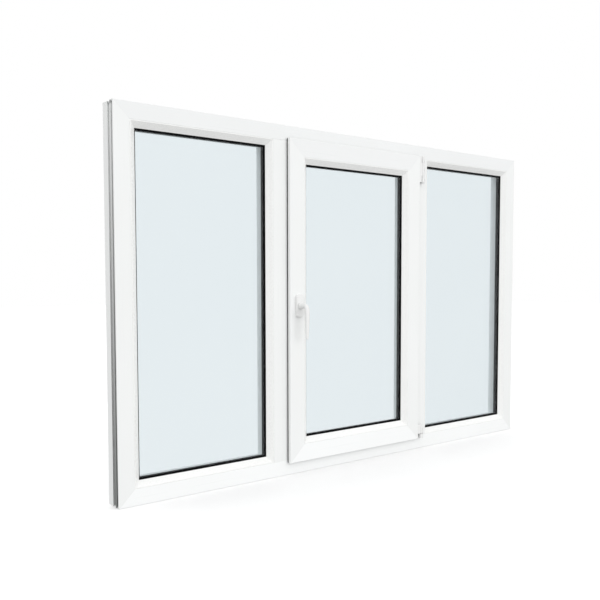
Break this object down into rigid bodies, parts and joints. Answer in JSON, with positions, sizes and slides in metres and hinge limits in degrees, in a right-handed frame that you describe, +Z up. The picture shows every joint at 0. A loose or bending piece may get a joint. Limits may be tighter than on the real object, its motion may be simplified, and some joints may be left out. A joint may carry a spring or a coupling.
{
  "type": "casement window",
  "caption": "Three-light white uPVC window with a side-hung casement sash between two fixed lights, double glazing and a lever handle.",
  "frame": {"origin": "on the underside of the sill, midway along it, on the centre line of its rear seat strip", "axes": "+X along the window to the right as seen from the room, +Y outdoors, +Z up"},
  "size_m": [1.765, 0.1435, 1.135],
  "materials": {
    "upvc_white": "smooth white uPVC, satin gloss",
    "bead_white": "smooth white uPVC",
    "gasket_black": "black EPDM rubber",
    "glass_clear": "clear float glass with a faint blue-green tint",
    "spacer_black": "black warm-edge spacer and sealant",
    "block_grey": "grey moulded plastic",
    "hinge_white": "white powder coat",
    "handle_white": "white powder coat",
    "washer_nylon": "pale grey nylon",
    "cast_alloy": "zinc die casting",
    "steel_zinc": "zinc-plated steel"
  },
  "bodies": {
    "frame": {"frame_jamb_left": "upvc_white", "frame_jamb_right": "upvc_white", "frame_head": "upvc_white", "frame_sill": "upvc_white", "mullion_left": "upvc_white", "mullion_right": "upvc_white", "frame_steels": "steel_zinc", "mullion_connectors": "cast_alloy", "mullion_screws": "steel_zinc", "opening_seal": "gasket_black", "striker_plates": "cast_alloy", "frame_hardware_screws": "steel_zinc", "drain_caps": "bead_white", "left_light_room_pane": "glass_clear", "left_light_outdoor_pane": "glass_clear", "left_light_spacer": "spacer_black", "left_light_beads": "bead_white", "left_light_bead_gasket": "gasket_black", "left_light_rebate_gasket": "gasket_black", "right_light_room_pane": "glass_clear", "right_light_outdoor_pane": "glass_clear", "right_light_spacer": "spacer_black", "right_light_beads": "bead_white", "right_light_bead_gasket": "gasket_black", "right_light_rebate_gasket": "gasket_black", "side_light_setting_blocks": "block_grey", "top_hinge_bracket": "hinge_white", "top_hinge_pin": "steel_zinc", "bottom_hinge_bearing": "hinge_white", "bottom_hinge_pin": "steel_zinc", "hinge_washer": "washer_nylon"},
    "sash": {"sash_stile_handle": "upvc_white", "sash_stile_hinge": "upvc_white", "sash_rail_top": "upvc_white", "sash_rail_bottom": "upvc_white", "sash_steels": "steel_zinc", "sash_overlap_seal": "gasket_black", "sash_room_pane": "glass_clear", "sash_outdoor_pane": "glass_clear", "sash_spacer": "spacer_black", "sash_beads": "bead_white", "sash_bead_gasket": "gasket_black", "sash_rebate_gasket": "gasket_black", "sash_setting_blocks": "block_grey", "sash_hardware_screws": "steel_zinc", "top_hinge_arm": "hinge_white", "bottom_hinge_leaf": "hinge_white", "gearbox_case": "cast_alloy", "faceplates": "steel_zinc", "corner_drives": "cast_alloy", "handle_rosette": "cast_alloy", "rosette_cover": "handle_white", "rosette_screws": "steel_zinc"},
    "handle": {"handle_lever": "handle_white", "handle_spindle": "steel_zinc", "gearbox_pinion": "steel_zinc"},
    "stile_rod": {"stile_rod": "steel_zinc"},
    "top_rod": {"top_rod": "steel_zinc"},
    "bottom_rod": {"bottom_rod": "steel_zinc"}
  },
  "joints": [
    {"name": "sash_turn", "type": "hinge", "parent": "frame", "child": "sash", "pos_m": [0.319, -0.067, 0.5675], "axis": [0, 0, 1], "range_deg": [0, 90]},
    {"name": "handle_turn", "type": "hinge", "parent": "sash", "child": "handle", "pos_m": [-0.2635, -0.048, 0.556], "axis": [0, -1, 0], "range_deg": [0, 90]},
    {"name": "stile_rod_slide", "type": "slide", "parent": "sash", "child": "stile_rod", "axis": [0, 0, -1], "range_m": [0, 0.018]},
    {"name": "top_rod_slide", "type": "slide", "parent": "sash", "child": "top_rod", "axis": [-1, 0, 0], "range_m": [0, 0.018]},
    {"name": "bottom_rod_slide", "type": "slide", "parent": "sash", "child": "bottom_rod", "axis": [1, 0, 0], "range_m": [0, 0.018]}
  ],
  "couplings": [
    {"joint": "stile_rod_slide", "follows": "handle_turn", "m_per_rad": 0.011459},
    {"joint": "top_rod_slide", "follows": "handle_turn", "m_per_rad": 0.011459},
    {"joint": "bottom_rod_slide", "follows": "handle_turn", "m_per_rad": 0.011459}
  ]
}
